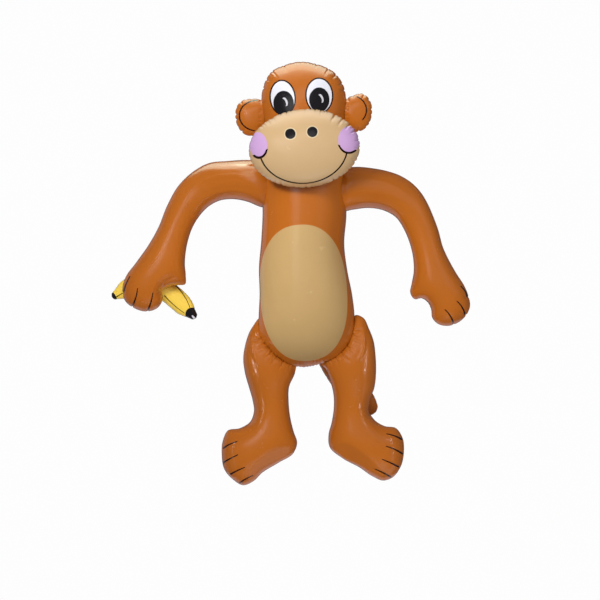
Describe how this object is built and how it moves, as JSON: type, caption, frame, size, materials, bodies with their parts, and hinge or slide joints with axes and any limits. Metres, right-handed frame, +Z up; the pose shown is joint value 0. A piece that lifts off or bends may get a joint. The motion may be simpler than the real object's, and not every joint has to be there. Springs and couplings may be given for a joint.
{
  "type": "inflatable monkey",
  "caption": "Lying blow-up vinyl monkey with a pillow muzzle, bent tube arms, big feet, a tail and a banana held in one hand.",
  "frame": {"origin": "on the flat that the monkey's back lies on, in the middle of its length, at floor height", "axes": "+Y to the crown of the head, +Z up through the face, +X to the monkey's own left hand"},
  "size_m": [0.7735, 0.9122, 0.2306],
  "materials": {
    "brown_vinyl": "glossy orange-brown PVC film",
    "tan_vinyl": "glossy tan PVC film with a printed smile, cheeks and nostrils",
    "yellow_vinyl": "glossy yellow PVC film with printed dark lines and tips"
  },
  "bodies": {
    "root": {"torso": "brown_vinyl", "head": "brown_vinyl", "muzzle": "tan_vinyl", "ear_right": "brown_vinyl", "ear_left": "brown_vinyl", "arm_right": "brown_vinyl", "arm_left": "brown_vinyl", "leg_right": "brown_vinyl", "leg_left": "brown_vinyl", "tail": "brown_vinyl", "banana": "yellow_vinyl"}
  },
  "joints": []
}
